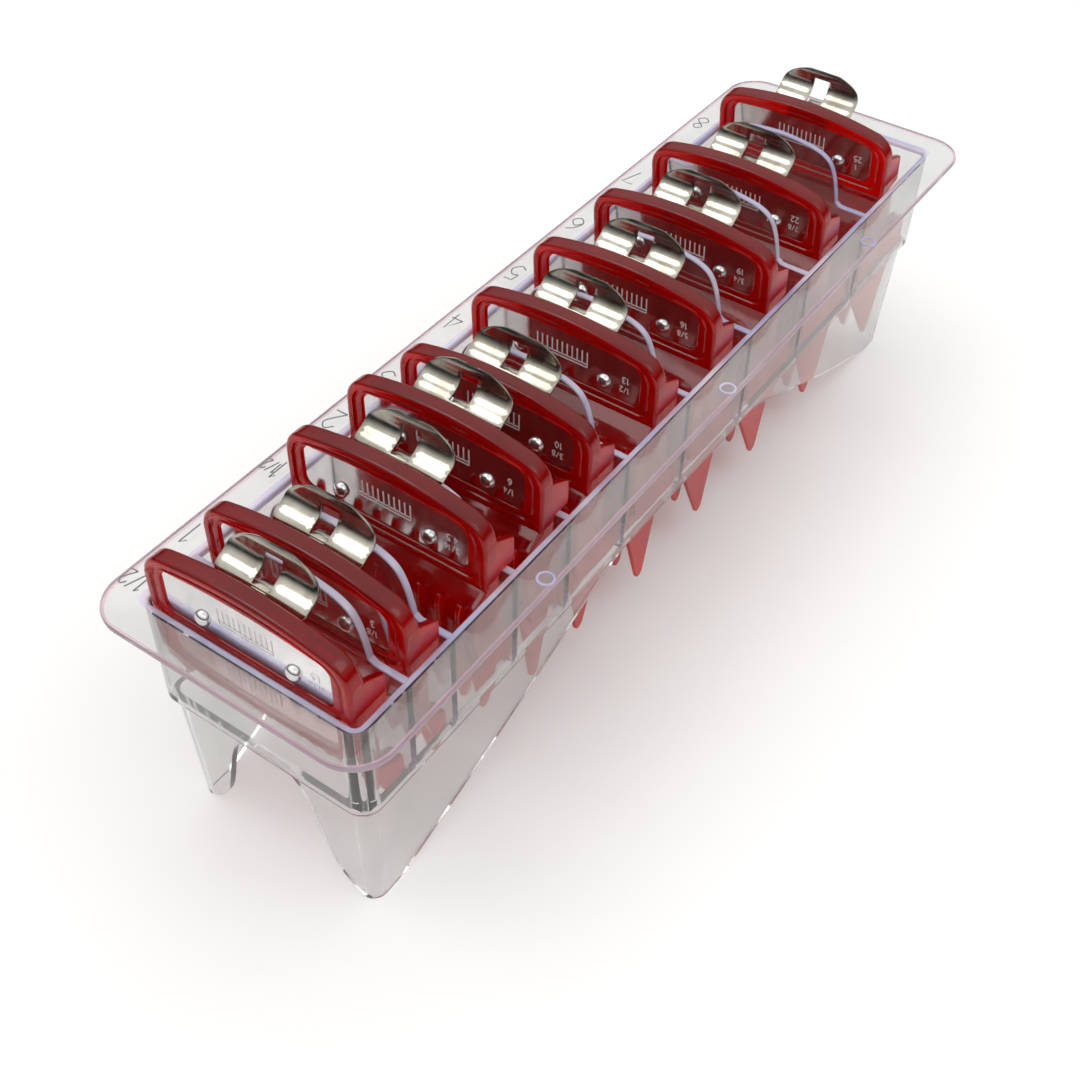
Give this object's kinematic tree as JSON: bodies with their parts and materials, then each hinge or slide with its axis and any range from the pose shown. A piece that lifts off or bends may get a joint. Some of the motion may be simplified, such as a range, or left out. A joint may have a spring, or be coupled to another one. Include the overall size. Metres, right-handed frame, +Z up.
{
  "type": "hair clipper guide comb set",
  "caption": "Set of ten hair clipper guide combs with steel label plates and spring clips, standing teeth down in a clear tray on four legs.",
  "frame": {"origin": "middle of the tray's footprint, on the surface it stands on", "axes": "+X across the tray, +Y along it from the shortest comb to the longest, +Z up"},
  "size_m": [0.068, 0.2534, 0.0854],
  "materials": {
    "clear_plastic": "clear glossy moulding",
    "red_plastic": "translucent glossy moulding",
    "plate_steel": "polished sheet",
    "rivet_steel": "polished domed head",
    "clip_steel": "bright spring strip"
  },
  "bodies": {
    "tray": {"tray": "clear_plastic"},
    "guide_01": {"comb_01": "red_plastic", "label_plate_01": "plate_steel", "rivet_left_01": "rivet_steel", "rivet_right_01": "rivet_steel"},
    "clip_01": {"spring_clip_01": "clip_steel"},
    "guide_02": {"comb_02": "red_plastic", "label_plate_02": "plate_steel", "rivet_left_02": "rivet_steel", "rivet_right_02": "rivet_steel"},
    "clip_02": {"spring_clip_02": "clip_steel"},
    "guide_03": {"comb_03": "red_plastic", "label_plate_03": "plate_steel", "rivet_left_03": "rivet_steel", "rivet_right_03": "rivet_steel"},
    "clip_03": {"spring_clip_03": "clip_steel"},
    "guide_04": {"comb_04": "red_plastic", "label_plate_04": "plate_steel", "rivet_left_04": "rivet_steel", "rivet_right_04": "rivet_steel"},
    "clip_04": {"spring_clip_04": "clip_steel"},
    "guide_05": {"comb_05": "red_plastic", "label_plate_05": "plate_steel", "rivet_left_05": "rivet_steel", "rivet_right_05": "rivet_steel"},
    "clip_05": {"spring_clip_05": "clip_steel"},
    "guide_06": {"comb_06": "red_plastic", "label_plate_06": "plate_steel", "rivet_left_06": "rivet_steel", "rivet_right_06": "rivet_steel"},
    "clip_06": {"spring_clip_06": "clip_steel"},
    "guide_07": {"comb_07": "red_plastic", "label_plate_07": "plate_steel", "rivet_left_07": "rivet_steel", "rivet_right_07": "rivet_steel"},
    "clip_07": {"spring_clip_07": "clip_steel"},
    "guide_08": {"comb_08": "red_plastic", "label_plate_08": "plate_steel", "rivet_left_08": "rivet_steel", "rivet_right_08": "rivet_steel"},
    "clip_08": {"spring_clip_08": "clip_steel"},
    "guide_09": {"comb_09": "red_plastic", "label_plate_09": "plate_steel", "rivet_left_09": "rivet_steel", "rivet_right_09": "rivet_steel"},
    "clip_09": {"spring_clip_09": "clip_steel"},
    "guide_10": {"comb_10": "red_plastic", "label_plate_10": "plate_steel", "rivet_left_10": "rivet_steel", "rivet_right_10": "rivet_steel"},
    "clip_10": {"spring_clip_10": "clip_steel"}
  },
  "joints": [
    {"name": "lift_01", "type": "slide", "parent": "tray", "child": "guide_01", "axis": [0, 0, 1], "range_m": [0, 0.085]},
    {"name": "flex_01", "type": "hinge", "parent": "guide_01", "child": "clip_01", "pos_m": [0, -0.1132, 0.0656], "axis": [-1, 0, 0], "range_deg": [0, 3], "stiffness_Nm_per_rad": 0.4, "springref_deg": -1.72},
    {"name": "lift_02", "type": "slide", "parent": "tray", "child": "guide_02", "axis": [0, 0, 1], "range_m": [0, 0.085]},
    {"name": "flex_02", "type": "hinge", "parent": "guide_02", "child": "clip_02", "pos_m": [0, -0.098, 0.0656], "axis": [-1, 0, 0], "range_deg": [0, 3], "stiffness_Nm_per_rad": 0.4, "springref_deg": -1.72},
    {"name": "lift_03", "type": "slide", "parent": "tray", "child": "guide_03", "axis": [0, 0, 1], "range_m": [0, 0.085]},
    {"name": "flex_03", "type": "hinge", "parent": "guide_03", "child": "clip_03", "pos_m": [0, -0.0745, 0.0678], "axis": [-1, 0, 0], "range_deg": [0, 3], "stiffness_Nm_per_rad": 0.4, "springref_deg": -1.72},
    {"name": "lift_04", "type": "slide", "parent": "tray", "child": "guide_04", "axis": [0, 0, 1], "range_m": [0, 0.085]},
    {"name": "flex_04", "type": "hinge", "parent": "guide_04", "child": "clip_04", "pos_m": [0, -0.0561, 0.0684], "axis": [-1, 0, 0], "range_deg": [0, 3], "stiffness_Nm_per_rad": 0.4, "springref_deg": -1.72},
    {"name": "lift_05", "type": "slide", "parent": "tray", "child": "guide_05", "axis": [0, 0, 1], "range_m": [0, 0.085]},
    {"name": "flex_05", "type": "hinge", "parent": "guide_05", "child": "clip_05", "pos_m": [0, -0.0391, 0.0656], "axis": [-1, 0, 0], "range_deg": [0, 3], "stiffness_Nm_per_rad": 0.4, "springref_deg": -1.72},
    {"name": "lift_06", "type": "slide", "parent": "tray", "child": "guide_06", "axis": [0, 0, 1], "range_m": [0, 0.085]},
    {"name": "flex_06", "type": "hinge", "parent": "guide_06", "child": "clip_06", "pos_m": [0, -0.01373, 0.06573], "axis": [-1, 0, 0], "range_deg": [0, 3], "stiffness_Nm_per_rad": 0.4, "springref_deg": -1.72},
    {"name": "lift_07", "type": "slide", "parent": "tray", "child": "guide_07", "axis": [0, 0, 1], "range_m": [0, 0.085]},
    {"name": "flex_07", "type": "hinge", "parent": "guide_07", "child": "clip_07", "pos_m": [0, 0.01044, 0.06586], "axis": [-1, 0, 0], "range_deg": [0, 3], "stiffness_Nm_per_rad": 0.4, "springref_deg": -1.72},
    {"name": "lift_08", "type": "slide", "parent": "tray", "child": "guide_08", "axis": [0, 0, 1], "range_m": [0, 0.085]},
    {"name": "flex_08", "type": "hinge", "parent": "guide_08", "child": "clip_08", "pos_m": [0, 0.0362, 0.06598], "axis": [-1, 0, 0], "range_deg": [0, 3], "stiffness_Nm_per_rad": 0.4, "springref_deg": -1.72},
    {"name": "lift_09", "type": "slide", "parent": "tray", "child": "guide_09", "axis": [0, 0, 1], "range_m": [0, 0.085]},
    {"name": "flex_09", "type": "hinge", "parent": "guide_09", "child": "clip_09", "pos_m": [0, 0.06326, 0.06609], "axis": [-1, 0, 0], "range_deg": [0, 3], "stiffness_Nm_per_rad": 0.4, "springref_deg": -1.72},
    {"name": "lift_10", "type": "slide", "parent": "tray", "child": "guide_10", "axis": [0, 0, 1], "range_m": [0, 0.085]},
    {"name": "flex_10", "type": "hinge", "parent": "guide_10", "child": "clip_10", "pos_m": [0, 0.09799, 0.06615], "axis": [-1, 0, 0], "range_deg": [0, 3], "stiffness_Nm_per_rad": 0.4, "springref_deg": -1.72}
  ]
}
